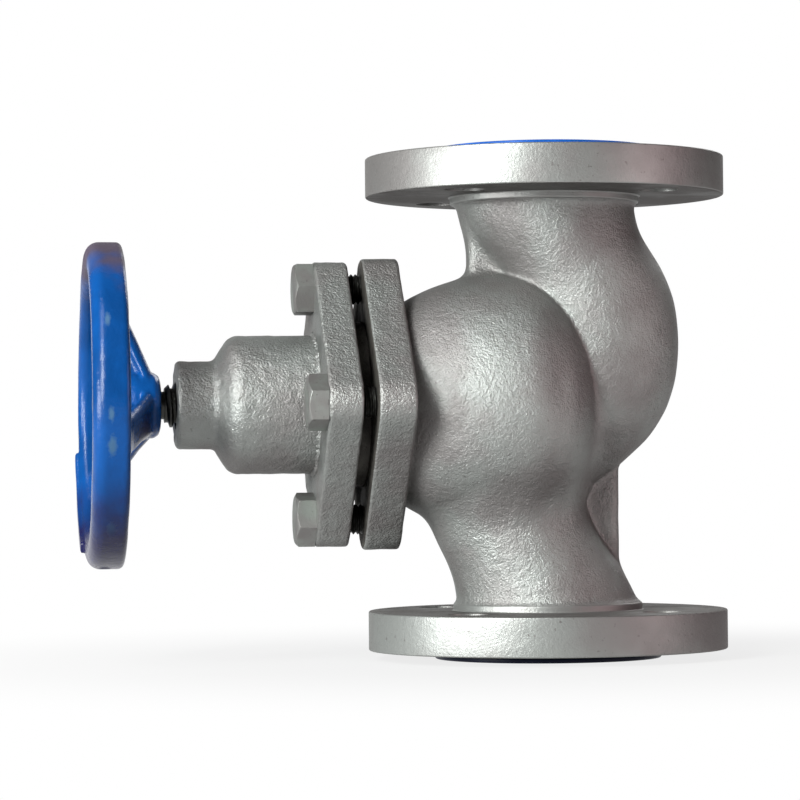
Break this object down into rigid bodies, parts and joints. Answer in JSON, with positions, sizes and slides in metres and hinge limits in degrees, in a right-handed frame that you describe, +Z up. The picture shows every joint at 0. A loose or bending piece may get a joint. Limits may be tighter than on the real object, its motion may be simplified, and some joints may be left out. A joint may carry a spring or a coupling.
{
  "type": "flanged piston valve",
  "caption": "Hand-operated piston valve with round end flanges, a square bolted bonnet and a blue handwheel that screws the piston out of its rings.",
  "frame": {"origin": "centre of the underside of the lower flange cover, on the flow axis, at floor level", "axes": "+Z runs up the flow axis through both ports, -X runs out along the stem to the handwheel, Y runs across"},
  "size_m": [0.2962, 0.165, 0.234],
  "materials": {
    "silver_casting_paint": "silver paint over a sand-cast skin",
    "painted_bolt_steel": "silver paint over forged steel",
    "graphite_ring": "packed graphite",
    "turned_steel": "turned",
    "bush_brass": "turned",
    "dark_blue_plastic": "moulded",
    "bright_blue_plastic": "moulded",
    "ground_steel": "ground and polished",
    "dark_thread_steel": "oiled dark thread",
    "blue_gloss_paint": "gloss paint over cast iron, worn in patches",
    "zinc_steel": "zinc plated"
  },
  "bodies": {
    "valve": {"body_seat_side": "silver_casting_paint", "body_ring_side": "silver_casting_paint", "body_upper_neck": "silver_casting_paint", "body_lower_neck": "silver_casting_paint", "body_flange": "silver_casting_paint", "lower_end_flange": "silver_casting_paint", "upper_end_flange": "silver_casting_paint", "bonnet": "silver_casting_paint", "bonnet_bolts": "painted_bolt_steel", "lower_valve_ring": "graphite_ring", "upper_valve_ring": "graphite_ring", "lantern_bush": "turned_steel", "spindle_bush": "bush_brass", "bush_grub_screw": "zinc_steel", "lower_flange_cover": "dark_blue_plastic", "upper_flange_cover": "bright_blue_plastic"},
    "piston": {"piston": "ground_steel", "thrust_disc": "turned_steel", "split_ring_near": "turned_steel", "split_ring_far": "turned_steel", "piston_nut": "turned_steel"},
    "spindle": {"spindle": "dark_thread_steel", "handwheel": "blue_gloss_paint", "handwheel_washer": "zinc_steel", "handwheel_nut": "zinc_steel"}
  },
  "joints": [
    {"name": "spindle_rise", "type": "slide", "parent": "valve", "child": "piston", "axis": [-1, 0, 0], "range_m": [0, 0.04]},
    {"name": "handwheel_turn", "type": "hinge", "parent": "piston", "child": "spindle", "pos_m": [-0.2035, 0, 0.117], "axis": [-1, 0, 0], "range_deg": [0, 3600]}
  ],
  "couplings": [
    {"joint": "spindle_rise", "follows": "handwheel_turn", "m_per_rad": 0.00063662}
  ]
}
